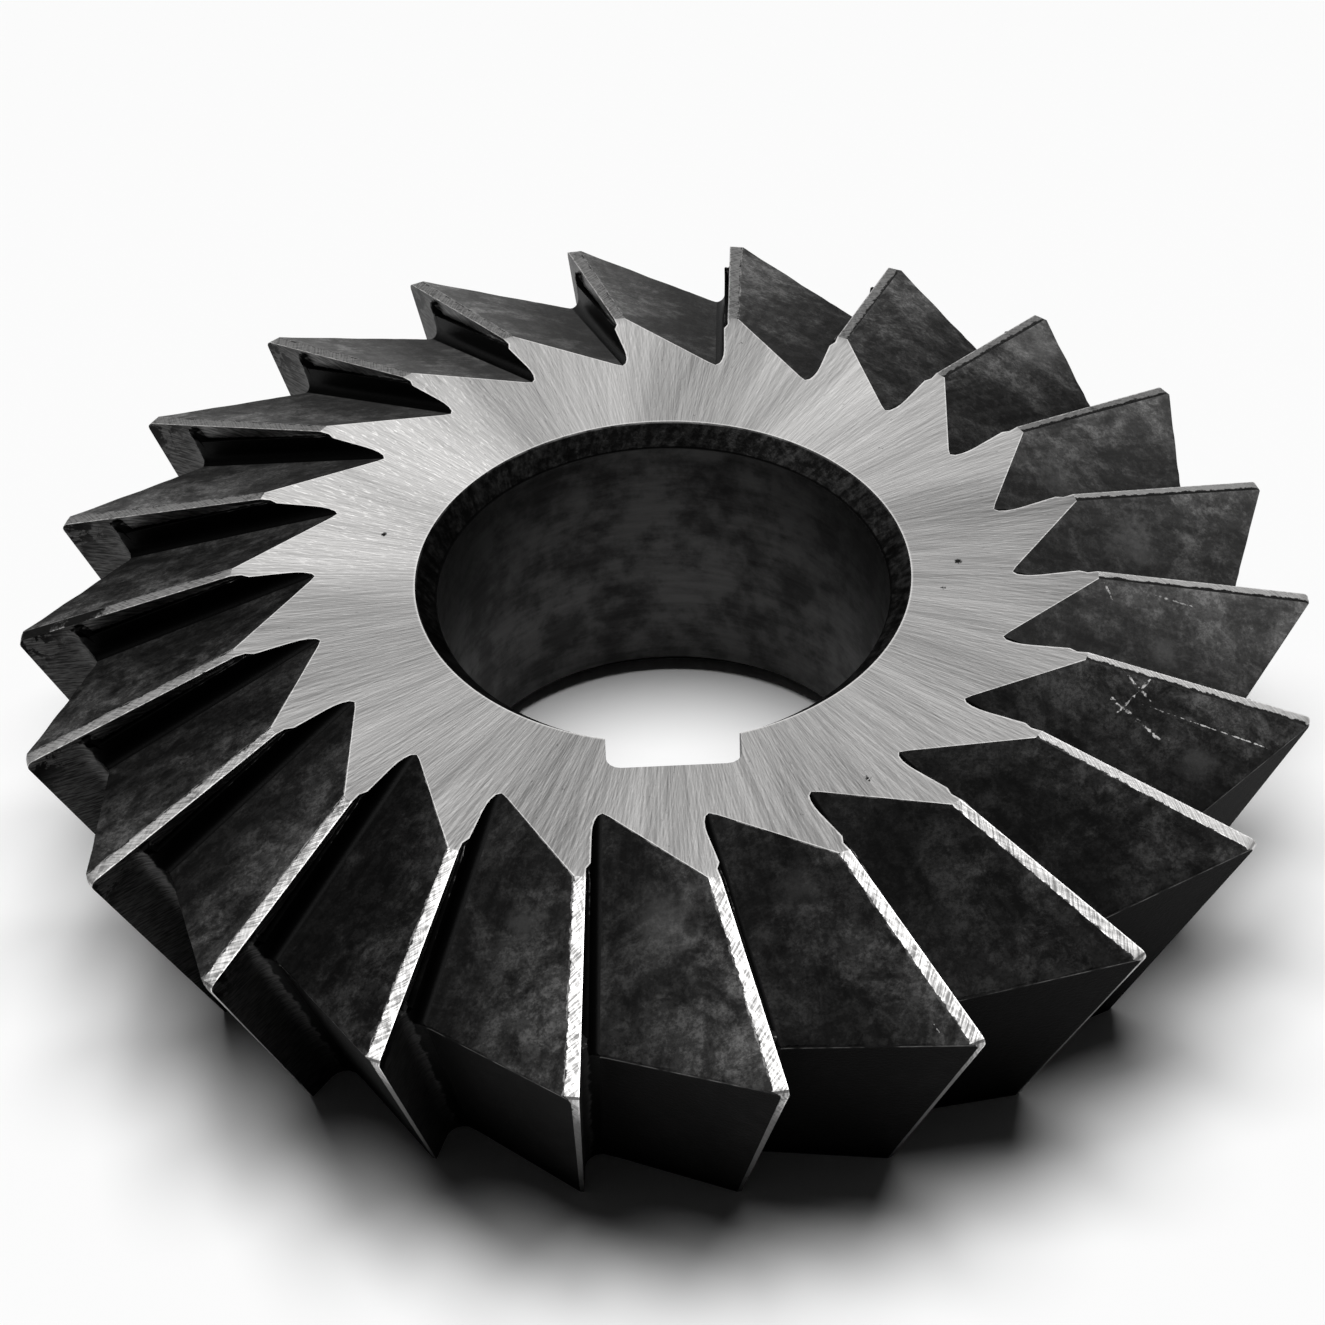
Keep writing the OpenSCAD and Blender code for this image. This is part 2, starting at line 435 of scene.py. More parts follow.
def root_line():
    """Fold points: even with the border's X down to the waist, then even with its length."""
    first, last = face_side[0], face_side[-1]
    line = first + ROOT_SEARCH[:, None] * upper.along
    waist = line[np.argmax(groove_height(lower, flat(line)) < line @ LOOK)]
    run = np.r_[0, np.cumsum(np.linalg.norm(np.diff(face_side[AT_TIP:], axis=0), axis=1))]
    fold = np.zeros((rows, 3))
    share = (face_side[: WAIST + 1, 0] - first[0]) / (face_side[WAIST, 0] - first[0])
    fold[: WAIST + 1] = first + share[:, None] * (waist - first)
    fan = np.linspace(0, FAN_SHARE, AT_TIP - WAIST + 1)[1:]
    share = np.r_[fan, FAN_SHARE + (1 - FAN_SHARE) * run[1:] / run[-1]]
    fold[WAIST + 1 :] = waist + share[:, None] * (last - waist)
    return fold


fold = root_line()
print("waist", round(np.hypot(*(fold[WAIST, :2] + AXIS)), 2), "mm from the axis")

# %% Columns over the face
FACE_STEPS = 18
MARGIN_COLUMNS = np.array([0, 0.4, 0.8, 0.95, 1.05])  # in widths of the margin
MARGIN_SHARES = (0.08, 0.6)  # least and most of a row that these columns may take
LOW_SHARE = 0.2  # what they take in the rows below the waist


def face_shares():
    """Shares of each row's way to the root: five columns follow the margin, the rest are even."""
    tries = np.linspace(0, 1, 401)
    place = face_side[:, None] + tries[:, None] * (fold - face_side)[:, None]
    inside = np.cumprod(margin_distance(place[..., 0], place[..., 2]) < 0, 1)
    at_margin = np.clip(inside.sum(1) / len(tries), *MARGIN_SHARES)
    at_margin[WAIST:] = LOW_SHARE
    margin_part = at_margin[:, None] * MARGIN_COLUMNS
    even = np.linspace(0, 1, FACE_STEPS + 2 - len(MARGIN_COLUMNS))[1:]
    last = margin_part[:, -1:]
    return np.c_[margin_part, last + (1 - last) * even]


# %% Grid over the gap
BACK_STEPS = 17
BACK_CROWD = 1.4  # crowds the columns of the back towards the root

o_face, o_fold, o_back = flat(face_side), flat(fold), flat(back_side)
shares = face_shares()[..., None]
face_grid = on_gap(o_face[:, None] + shares * (o_fold - o_face)[:, None])
shares = ((np.arange(BACK_STEPS + 1) / BACK_STEPS) ** BACK_CROWD)[None, :, None]
back_grid = on_gap(o_fold[:, None] + shares * (o_back - o_fold)[:, None])
face_grid[:, 0], back_grid[:, -1] = face_side, back_side
for grid in (face_grid, back_grid):
    grid[0], grid[-1] = face_side[0], face_side[-1]
print("face grid", face_grid.shape[:2], "and back grid", back_grid.shape[:2])

# %% [markdown]
# ## Lands and the ring of teeth
#
# Between the back corner and the next cutting edge the blank itself shows: the side faces, and two
# thin lands on the cones. Their points go evenly in angle and radius. One pitch is then turned into
# its 22 places, which gives a closed belt from the upper face to the lower one.

# %% Belt of teeth
LAND_STEPS = 8


def polar(p):
    """Radius and angle of points about the bore axis."""
    return np.hypot(p[..., 0], p[..., 1]), np.arctan2(p[..., 1], p[..., 0])


def land_grid(corner, next_edge):
    """Points between back corner and next edge, even in radius and angle, at the row's height."""
    r0, a0 = polar(corner)
    r1, a1 = polar(next_edge)
    share = np.arange(1, LAND_STEPS) / LAND_STEPS
    r = r0[:, None] + share * (r1 - r0)[:, None]
    a = a0[:, None] + share * (a1 + PITCH - a0)[:, None]
    return np.stack([r * np.cos(a), r * np.sin(a), np.repeat(corner[:, 2:], LAND_STEPS - 1, 1)], -1)


face_part, back_part = off_face(face_grid), off_face(back_grid[:, 1:])
land_part = land_grid(back_part[:, -1], face_part[:, 0])
tooth = np.concatenate([face_part, back_part, land_part], 1)
columns = tooth.shape[1]
belt = np.stack([turned(tooth, k * PITCH + TOOTH_TURN) for k in range(TEETH)], 1)
belt = belt.reshape(rows, TEETH * columns, 3)
print("belt of", belt.shape[0], "x", belt.shape[1], "points")

# %% [markdown]
# ## Side faces, bore and keyway
#
# The first and last row of the belt are plain circles of points. Rings lead from them to the bore.
# The keyway needs no cut: seen from the axis its outline has one radius for each direction, so the
# columns crowd into its corners and every ring of the bore simply follows that outline.

# %% Columns of the bore
ring_columns = np.r_[FACE_STEPS, np.arange(FACE_STEPS + BACK_STEPS + 1, columns)]
ring_index = (np.arange(TEETH)[:, None] * columns + ring_columns).ravel()
ring_points = len(ring_index)
ring_step = 2 * np.pi / ring_points
ring_turn = polar(belt[0, ring_index])[1]
nearest = np.argmin(np.abs((ring_turn - KEY_TURN + np.pi) % (2 * np.pi) - np.pi))
from_key = (np.arange(ring_points) - nearest + ring_points // 2) % ring_points - ring_points // 2
print(ring_points, "columns, the keyway's middle is column", nearest)


# %% Outline of the bore
def half_keyway(r_bore):
    """Half the keyway, from its middle: along the floor, round the corner, along the wall."""
    floor, side = BORE_R + KEY_DEPTH, KEY_W / 2 - KEY_ROUND
    angle = np.linspace(0, np.pi / 2, 5)
    corner_x = floor - KEY_ROUND + KEY_ROUND * np.cos(angle)
    wall_end = np.sqrt(r_bore**2 - (KEY_W / 2) ** 2)
    x = np.r_[[floor] * 3, corner_x, (corner_x[-1] + wall_end) / 2, wall_end]
    y = np.r_[0, side / 3, side * 2 / 3, side + KEY_ROUND * np.sin(angle), [KEY_W / 2] * 2]
    return x, y


KEY_END = len(half_keyway(BORE_R)[0]) - 1  # columns from the keyway's middle to its end
EVEN_AGAIN = KEY_END + 4  # columns from its middle to where the spacing is even again


def bore_ring(z):
    """Bore outline at a height: a circle that widens in the chamfers, with the keyway let in."""
    r_bore = BORE_R + max(0, z - (WIDTH - CHAMFER), CHAMFER - z)
    key_x, key_y = half_keyway(r_bore)
    m = np.abs(from_key)
    x, y = (np.interp(m, np.arange(KEY_END + 1), k) for k in (key_x, key_y))
    key_turn = np.arctan2(key_y[-1], key_x[-1])
    eased = np.interp(m, [KEY_END, EVEN_AGAIN], [key_turn, EVEN_AGAIN * ring_step])
    turn = np.where(m > EVEN_AGAIN, m * ring_step, eased)
    turn = np.where(m <= KEY_END, np.arctan2(y, x), turn) * np.where(from_key < 0, -1, 1)
    r = np.where(m <= KEY_END, np.hypot(x, y), r_bore)
    angle = turn + KEY_TURN
    return np.stack([r * np.cos(angle), r * np.sin(angle), np.full(ring_points, z)], -1)


# %% Rings from face to face
TOP_RINGS, BORE_RINGS, BOTTOM_RINGS = 8, 12, 10


def between(outer, inner, steps):
    """Rings at even shares of the way between two rings of points, without the first."""
    share = np.linspace(0, 1, steps + 1)[1:, None, None]
    return outer + share * (inner - outer)


bore_levels = np.r_[
    WIDTH - CHAMFER * np.array([1, 2]) / 3,
    np.linspace(WIDTH - CHAMFER, CHAMFER, BORE_RINGS),
    CHAMFER * np.array([2, 1, 0]) / 3,
]
rings = np.concatenate(
    [
        between(belt[0, ring_index], bore_ring(WIDTH), TOP_RINGS),
        np.stack([bore_ring(z) for z in bore_levels]),
        between(bore_ring(0), belt[-1, ring_index], BOTTOM_RINGS)[:-1],
    ]
)
print(len(rings), "rings of", ring_points, "points")

# %% [markdown]
# ## One closed mesh
#
# The belt and the rings are joined by their point numbers. Rows that shrink to a point at the ends
# of the gullets leave doubled points. Those are merged, and the faces beside them become triangles.

# %% Faces and their finishes
SIDE, LAND, BACK, FACE, BORE = range(5)


def grid_faces(index):
    """Four-sided faces over a grid of point numbers, closed across the columns."""
    following = np.roll(index, -1, 1)
    return np.stack([index[:-1], index[1:], following[1:], following[:-1]], -1)


belt_index = np.arange(belt.shape[0] * belt.shape[1]).reshape(belt.shape[:2])
ring_numbers = belt_index.size + np.arange(len(rings) * ring_points).reshape(-1, ring_points)
ring_grid = np.concatenate([belt_index[:1, ring_index], ring_numbers, belt_index[-1:, ring_index]])
belt_faces = grid_faces(belt_index)
ring_faces = grid_faces(ring_grid)[..., ::-1]

column = np.arange(TEETH * columns) % columns
of_gap = np.where(column < FACE_STEPS, FACE, BACK)
finish_of_column = np.where(column < FACE_STEPS + BACK_STEPS, of_gap, LAND)
belt_finish = np.repeat(finish_of_column[None], rows - 1, 0)
on_side = (np.arange(rows - 1) < RIM) | (np.arange(rows - 1) >= LOW_RIM)
belt_finish[on_side[:, None] & (belt_finish == LAND)] = SIDE
ring_finish = np.full(ring_faces.shape[:2], SIDE)
ring_finish[TOP_RINGS : TOP_RINGS + len(bore_levels)] = BORE

points = np.concatenate([belt.reshape(-1, 3), rings.reshape(-1, 3)])
faces = np.concatenate([belt_faces.reshape(-1, 4), ring_faces.reshape(-1, 4)])
finish = np.r_[belt_finish.ravel(), ring_finish.ravel()]
print(len(points), "points and", len(faces), "faces before merging")

# %% [markdown]
# ## Marks that go with the shape
#
# Where one finish stops inside a face, a signed distance is kept at every point: it may be read
# between points without steps, so the border stays sharp in the material on a fairly coarse grid.

# %% Distances kept at the points
QUARTER_PAST = 0.62  # how far the ground quarter reaches into the rounding of the lower root


def run_along(p, axis):
    """Length of the way along rows (axis 1) or columns (axis 0) of a grid, from its first point."""
    run = np.cumsum(np.linalg.norm(np.diff(p, axis=axis), axis=-1), axis)
    return np.insert(run, 0, 0, axis)


across_tooth = run_along(np.concatenate([tooth, turned(tooth[:, :1], PITCH)], 1), 1)
down_tooth = run_along(tooth, 0)
edge_runs = across_tooth[:, [0, FACE_STEPS + BACK_STEPS, columns]]
in_tooth = np.concatenate([face_grid, back_grid[:, 1:], np.zeros((rows, LAND_STEPS - 1, 3))], 1)
height_low, height_up = lower.across(in_tooth)[0], upper.across(in_tooth)[0]
row_of = np.repeat(np.arange(rows)[:, None], columns, 1)
marks = {
    "margin": margin_distance(in_tooth[..., 0], in_tooth[..., 2]),
    "ground": lower.tangent - QUARTER_PAST - height_low,
    "above_root": np.where(row_of < AT_TIP, height_up, height_low),
    "ridge": down_tooth - down_tooth[AT_TIP],
    "edge": np.abs(across_tooth[:, :-1, None] - edge_runs[:, None]).min(2),
    "rear": np.abs(across_tooth[:, :-1] - edge_runs[:, 1:2]),
}
print("marks:", ", ".join(marks))

# %% Tone of each gullet, partly painted reflection
# How light each gullet's back turns out, tooth by tooth, from the right round the far side, the
# left and the near side: partly the scale's own uneven tone, partly painted reflection, which makes
# the far backs, seen at a grazing angle, several times lighter.
right_side = [3.1, 3.3, 2.2, 2.6, 3.0]
far_side = [4.2, 5.0, 5.8, 3.6, 2.8, 1.7]
left_side = [1.3, 1.3, 1.5, 0.8]
near_side = [1.6, 1.8, 1.1, 0.8, 0.8, 1.4, 3.4]
tones_and_reflection = np.array(right_side + far_side + left_side + near_side)


def on_belt(values):
    """A tooth's values repeated over the belt, then a large value on the rings."""
    return np.r_[np.tile(values, (1, TEETH)).ravel(), np.full(rings.size // 3, FAR)]


mark_values = {name: on_belt(values) for name, values in marks.items()}
tone_and_reflection_of_column = np.repeat(tones_and_reflection, columns)
mark_values["tone"] = np.r_[np.tile(tone_and_reflection_of_column, rows), np.ones(rings.size // 3)]
print("the lightest back is", round(tones_and_reflection.max() / tones_and_reflection.min(), 1), "times the darkest")

# %% Merge and build
SHARP_FROM = np.radians(24)  # edges that turn more than this are shaded sharp


def merged(points, faces):
    """Doubled points made one. A face with two of them side by side becomes a triangle."""
    near = np.round(points, 5)
    _, first, number = np.unique(near, axis=0, return_index=True, return_inverse=True)
    faces = number.reshape(-1)[faces]
    corner = faces != np.roll(faces, -1, 1)
    return first, faces[corner], corner.sum(1)


first, corners, counts = merged(points, faces)
mesh = bpy.data.meshes.new("double_angle_cutter")
mesh.vertices.add(len(first))
mesh.loops.add(len(corners))
mesh.polygons.add(len(counts))
mesh.vertices.foreach_set("co", (points[first] * MM).ravel())
mesh.loops.foreach_set("vertex_index", corners.astype(np.int32))
mesh.polygons.foreach_set("loop_start", np.r_[0, np.cumsum(counts)[:-1]].astype(np.int32))
mesh.polygons.foreach_set("material_index", finish.astype(np.int32))
mesh.update(calc_edges=True)
mesh.validate()
for name, values in mark_values.items():
    kept = mesh.attributes.new(name, "FLOAT", "POINT")
    kept.data.foreach_set("value", values[first].astype(np.float32))
mesh.shade_smooth()
mesh.set_sharp_from_angle(angle=SHARP_FROM)
cutter = bpy.data.objects.new("double_angle_cutter", mesh)
bpy.context.scene.collection.objects.link(cutter)
print(len(mesh.vertices), "points,", len(mesh.polygons), "faces,", sum(counts - 2), "triangles")

# %% [markdown]
# ## Writing materials
#
# A node tree is easier to read as sums than as boxes, so a small helper makes a node, sets its
# sockets and gives back its output. Patterns are placed in millimetres of the cutter itself. In the
# cells below, p is the finish that is being written.


# %% Node helper
class Paint:
    """A new material with helpers for its nodes."""

    def __init__(self, name):
        """Object coordinates in millimetres, and the radius and unit vector from the bore axis."""
        self.material = bpy.data.materials.new(name)
        self.material.use_nodes = True
        self.tree = self.material.node_tree
        self.shader = self.tree.nodes["Principled BSDF"]
        place = self.node("ShaderNodeTexCoord").outputs["Object"]
        self.mm = self.scaled(place, 1 / MM)
        self.x, self.y, self.z = self.node("ShaderNodeSeparateXYZ", {0: self.mm}).outputs
        level = self.vector(self.x, self.y)
        self.r = self.vectors("LENGTH", level)
        self.outward = self.vectors("NORMALIZE", level)

    def node(self, kind, sockets=None, **settings):
        """A node with its settings, and its sockets by number or name."""
        made = self.tree.nodes.new(kind)
        for key, value in settings.items():
            setattr(made, key, value)
        for key, value in (sockets or {}).items():
            self.feed(made.inputs[key], value)
        return made

    def feed(self, socket, value):
        """A link from another node's output, or else a plain value."""
        if isinstance(value, bpy.types.NodeSocket):
            self.tree.links.new(value, socket)
        else:
            socket.default_value = value

    def math(self, operation, a, b=0.0, c=0.0):
        """One sum of numbers, such as a times b plus c for MULTIPLY_ADD."""
        return self.node("ShaderNodeMath", {0: a, 1: b, 2: c}, operation=operation).outputs[0]

    def vectors(self, operation, a, b=(0.0, 0.0, 0.0)):
        """One sum of vectors. A length, distance or dot product comes back as a number."""
        made = self.node("ShaderNodeVectorMath", {0: a, 1: b}, operation=operation)
        number = operation in ("LENGTH", "DISTANCE", "DOT_PRODUCT")
        return made.outputs["Value" if number else "Vector"]

    def scaled(self, vector, by):
        """A vector times a number."""
        sockets = {0: vector, "Scale": by}
        return self.node("ShaderNodeVectorMath", sockets, operation="SCALE").outputs["Vector"]

    def vector(self, x, y, z=0.0):
        """A vector from its three numbers."""
        return self.node("ShaderNodeCombineXYZ", {0: x, 1: y, 2: z}).outputs[0]

    def ramp(self, value, low, high, to_low=0.0, to_high=1.0):
        """Smooth step from one value to another while the input goes from low to high."""
        sockets = {"Value": value, "From Min": low, "From Max": high}
        sockets |= {"To Min": to_low, "To Max": to_high}
        return self.node("ShaderNodeMapRange", sockets, interpolation_type="SMOOTHSTEP").outputs[0]

    def noise(self, vector, scale, detail=4.0, rough=0.5, warp=0.0):
        """Noise from 0 to 1 with so many cells to a unit of its vector."""
        sockets = {"Vector": vector, "Scale": scale, "Detail": detail}
        sockets |= {"Roughness": rough, "Distortion": warp}
        return self.node("ShaderNodeTexNoise", sockets).outputs[0]

    def mark(self, name):
        """A distance that was kept at the points of the mesh, in millimetres."""
        return self.node("ShaderNodeAttribute", attribute_name=name).outputs["Fac"]

    def mix(self, share, a, b):
        """Colour a, and a share of colour b over it. The node's colours are inputs 6 and 7."""
        made = self.node("ShaderNodeMix", {"Factor": share}, data_type="RGBA")
        for number, color in ((6, a), (7, b)):
            linked = isinstance(color, bpy.types.NodeSocket)
            self.feed(made.inputs[number], color if linked else (*color, 1))
        return made.outputs[2]

    def bump(self, height, depth, normal=None):
        """Relief of a height from 0 to 1, as deep as the given millimetres."""
        sockets = {"Height": height, "Distance": depth * MM, "Strength": 1.0}
        if normal is not None:
            sockets["Normal"] = normal
        return self.node("ShaderNodeBump", sockets).outputs[0]

    def finish(self, color, roughness, normal=None, metallic=1.0, specular=0.5):
        """The material with its shader fed."""
        self.feed(self.shader.inputs["Base Color"], color)
        self.feed(self.shader.inputs["Roughness"], roughness)
        self.feed(self.shader.inputs["Metallic"], metallic)
        self.feed(self.shader.inputs["Specular IOR Level"], specular)
        if normal is not None:
            self.feed(self.shader.inputs["Normal"], normal)
        print(self.material.name, "has", len(self.tree.nodes), "nodes")
        return self.material


def grey(value, warmth=0.02):
    """A nearly neutral colour: a little more red and a little less blue than green."""
    return (value * (1 + warmth / 2), value, value * (1 - warmth / 2))


# %% [markdown]
# ## Lines that a grinding wheel leaves
#
# The wheel crosses the side face from the bore outwards, so its marks are fine lines that fan out
# like spokes. Noise stretched along the radius gives them. Its place is the unit vector from the
# axis times a large number, plus the radius times a small one: unlike an angle this has no seam.
# Turning the vector a little more the farther out it lies makes the lines slant, as real passes do.


# %% Spokes
def spokes(p, across, along, slant=0.0, detail=3.0):
    """Noise in lines along the radius: cells per radian, cells per mm, radians of turn per mm."""
    sockets = {"Vector": p.outward, "Angle": p.math("MULTIPLY", p.r, slant)}
    way = p.node("ShaderNodeVectorRotate", sockets, rotation_type="Z_AXIS").outputs[0]
    wide = p.scaled(way, across)
    lift = p.vector(0.0, 0.0, p.math("MULTIPLY", p.r, along))
    return p.noise(p.vectors("ADD", wide, lift), 1.0, detail, 0.6)


def toward(p, x, y, low, high):
    """Share that grows towards one side: a step of the cosine from a direction."""
    return p.ramp(p.vectors("DOT_PRODUCT", p.outward, (x, y, 0)), low, high)


# %% Pits and clouds
def pits(p, size, radius, share):
    """Small round pits: one chance in each cell of a given size, and only in a share of them."""
    cells = p.node("ShaderNodeTexVoronoi", {"Vector": p.mm, "Scale": 1 / size})
    chance = p.node("ShaderNodeSeparateColor", {0: cells.outputs["Color"]}).outputs[0]
    chosen = p.math("LESS_THAN", chance, share)
    wander = p.ramp(p.noise(p.mm, 9.0, 2), 0.3, 0.7, -0.05, 0.05)
    ragged = p.math("ADD", cells.outputs["Distance"], wander)
    near = p.ramp(ragged, radius / size * 0.6, radius / size * 1.4, 1.0, 0.0)
    return p.math("MULTIPLY", near, chosen)


def spot(p, centre, radius, core=0.7, wobble=0.8):
    """A cloud around a place, full inside its core, with a border that wanders."""
    away = p.vectors("DISTANCE", p.mm, centre)
    cloud = p.noise(p.mm, 1.2 / radius, 8, 0.75)
    wander = p.math("MULTIPLY_ADD", cloud, radius * wobble * 4, -radius * wobble * 2)
    return p.ramp(p.math("ADD", away, wander), radius * core, radius * 1.3, 1.0, 0.0)


# %% Scratches, and worn edges with painted highlight
def scratch(p, start, end, width):
    """A broken scratch between two places: near where the straight line between them runs."""
    start, run = np.array(start), np.array(end) - np.array(start)
    place = p.vectors("SUBTRACT", p.mm, start)
    along = p.vectors("DOT_PRODUCT", place, run / (run @ run))
    share = p.node("ShaderNodeClamp", {0: along}).outputs[0]
    away = p.vectors("DISTANCE", place, p.scaled(tuple(run), share))
    wander = p.ramp(p.noise(p.mm, 4.0, 3), 0.3, 0.7, -width, width)
    line = p.ramp(p.math("ADD", away, wander), width * 0.3, width, 0.8, 0.0)
    return p.math("MULTIPLY", line, p.ramp(p.noise(p.mm, 2.3, 3, 0.7), 0.38, 0.56))


def worn_edge_and_glint(p, width, reach=0.05):
    """Share of bare metal beside a sharp edge, broken up along it: partly wear, partly painted
    highlight where the edge catches the light.
    """
    ragged = p.ramp(p.noise(p.mm, 3.0, 4, 0.7), 0.35, 0.7, -reach, reach)
    return p.ramp(p.math("ADD", p.mark("edge"), ragged), width * 0.4, width * 1.6, 1.0, 0.0)


# %% [markdown]
# ## Ground side faces
#
# Bare tool steel, ground flat after hardening. It is a mid grey with fine spokes, and with broad
# sectors a shade lighter or darker where passes of the wheel overlap. More sectors are painted
# light and shade by direction, and painted glints sparkle on the far left. Over that go a little
# dirt, a few black pits, and a thin bright line along the gullets and the bore: partly burr, partly
# painted highlight where the edges catch the light.

# %% Lines on the side face
p = Paint("ground_side")
slanted = spokes(p, 150, 0.07, 0.012, 2)
lines = p.ramp(spokes(p, 190, 0.07), 0.36, 0.64, -0.5, 0.5)
lines = p.math("ADD", lines, p.ramp(slanted, 0.38, 0.62, -0.3, 0.3))
lines = p.math("ADD", lines, p.ramp(spokes(p, 160, 0.07, -0.009, 2), 0.4, 0.64, -0.2, 0.2))
dark_hairs = p.ramp(spokes(p, 300, 0.05, 0.004, 2), 0.6, 0.7)
dark_hairs = p.math("ADD", dark_hairs, p.ramp(slanted, 0.64, 0.72))
specks = p.ramp(spokes(p, 120, 2.4, 0.01, 3), 0.64, 0.74)
dashes = p.ramp(spokes(p, 150, 1.7, 0.01, 2), 0.56, 0.68)

# %% Sectors of painted light on the side face
FAR_LEFT = (-0.85, 0.5, 0.8, 0.97)  # direction, then the cosines where it starts and is full
# Painted light and shade: each sector makes the side face lighter or darker towards one direction,
# as light glances off the radial lines there.
PAINTED_LIGHT_SECTORS = (
    (FAR_LEFT, 0.2),
    ((1.0, -0.1, 0.6, 0.97), -0.14),
    ((0.05, -1.0, 0.7, 0.97), -0.13),
    ((0.75, 0.66, 0.8, 0.98), 0.12),
)

broad = p.ramp(spokes(p, 3.0, 0.03, 0.01, 4), 0.3, 0.7, -0.11, 0.11)
shade = p.math("ADD", p.math("MULTIPLY_ADD", lines, 0.12, 0.39), broad)
shade = p.math("MULTIPLY_ADD", p.math("ADD", dark_hairs, specks), -0.14, shade)
# Painted highlight: bright glints along short dashes, most of them towards the far left.
painted_glints = p.math("MULTIPLY", dashes, p.math("MULTIPLY_ADD", toward(p, *FAR_LEFT), 0.75, 0.25))
shade = p.math("MULTIPLY_ADD", painted_glints, 0.26, shade)
for sector, change in PAINTED_LIGHT_SECTORS:
    shade = p.math("MULTIPLY_ADD", toward(p, *sector), change, shade)
color = p.mix(shade, grey(0.15), grey(1.0))

# %% Dirt, pits, burr and painted edge highlight of the side face
BLACK_PITS = (((14.3, 0.2, 16), 0.16), ((-13.6, 3.7, 16), 0.13))  # places and radii

dirt = p.ramp(p.noise(p.mm, 1.5, 5, 0.8), 0.64, 0.72, 0.0, 0.6)
color = p.mix(dirt, color, grey(0.12))
black = pits(p, 2.2, 0.12, 0.14)
for place, radius in BLACK_PITS:
    black = p.math("MAXIMUM", black, spot(p, place, radius))
color = p.mix(black, color, grey(0.02))
# The bright rim at the chamfer and the bright line along the gullets are partly burr, partly
# painted highlight where the edges catch the light.
rim = p.ramp(p.r, BORE_R + CHAMFER, BORE_R + CHAMFER + 0.12, 1.0, 0.0)
burr_and_glint = p.math("MAXIMUM", worn_edge_and_glint(p, 0.06, 0.03), rim)
color = p.mix(p.math("MULTIPLY", burr_and_glint, 0.6), color, grey(0.95))
relief = p.bump(p.noise(p.mm, 3.6, 3, 0.7), 0.008, p.bump(lines, 0.004))
mesh.materials.append(p.finish(color, p.ramp(lines, -1.0, 1.0, 0.76, 0.66), relief))

# %% [markdown]
# ## Ground lands
#
# The lands are the last surfaces to be ground, so they are the brightest, and those on the right
# are made lighter still: a painted highlight where they face the light. Short strokes of the wheel
# cross each other at small angles along the land. Behind the land runs a dark strip, wider on the
# right, and a few lands are stained. A bright line along the cutting edges is partly wear, partly
# painted highlight, and the lower lands darken down the lower cone as painted shade.

# %% Strokes on the lands
p = Paint("ground_land")
stroke = p.ramp(spokes(p, 210, 0.9, 0.03), 0.36, 0.62, 0.0, 0.62)
stroke = p.math("ADD", stroke, p.ramp(spokes(p, 120, 1.4, -0.02), 0.4, 0.62, 0.0, 0.38))
color = p.mix(stroke, grey(0.2), grey(0.62))
color = p.mix(p.ramp(p.noise(p.mm, 0.8, 5, 0.7), 0.58, 0.68, 0.0, 0.7), color, grey(0.08))
# Painted highlight: lands towards the right are mixed up to 0.42 of the way to white.
color = p.mix(p.math("MULTIPLY", toward(p, 0.98, -0.17, 0.8, 0.95), 0.42), color, grey(1.0))

# %% Borders, stains, painted highlight and painted shade of the lands
STAINS = (((-30.8, 0.0, 13.4), 1.1), ((-28.6, 0.7, 13.9), 1.2), ((-30.6, -6.6, 13.4), 1.0))

strip = p.math("MULTIPLY", p.ramp(p.x, 6.0, 17.0, 0.0, 0.2), p.ramp(p.y, -17.0, -9.0))
strip = p.math("ADD", strip, p.ramp(p.noise(p.mm, 2.2, 4, 0.7), 0.35, 0.7, -0.04, 0.1))
behind = p.ramp(p.math("SUBTRACT", p.mark("rear"), strip), -0.03, 0.03, 1.0, 0.0)
color = p.mix(behind, color, grey(0.03))
front = p.ramp(p.mark("rear"), 0.2, 0.3)
# A bright line along the cutting edges: partly wear, partly painted highlight where the edges catch
# the light.
color = p.mix(p.math("MULTIPLY", worn_edge_and_glint(p, 0.04, 0.04), front), color, grey(0.9))
for place, radius in STAINS:
    color = p.mix(spot(p, place, radius), color, grey(0.02))
# Painted shade: below the tip, the lower land turns darker down the lower cone.
color = p.mix(p.ramp(p.mark("ridge"), 0.1, 4.0), color, grey(0.14))
color = p.mix(pits(p, 1.3, 0.09, 0.2), color, grey(0.03))
roughness = p.ramp(stroke, 0.0, 1.0, 0.6, 0.46)
mesh.materials.append(p.finish(color, roughness, p.bump(stroke, 0.006)))

# %% [markdown]
# ## Milled backs with their heat-treatment scale
#
# The gullets are left as milled, and hardening turned them almost black. The scale is thin and
# uneven: light clouds where it is rubbed, dark specks and faint lines along the cut. A darker band
# in the root is painted shade, and so is the black of the lower gullets' backs, which face down.
# Handling has left light spots and fine scratches, which are placed one by one. The bright line on
# the ridge is partly wear, partly painted highlight.


# %% Scale
def milling_lines(p):
    """Noise in lines along the cut of a gullet."""
    return spokes(p, 45, 0.15, 0.0, 2)


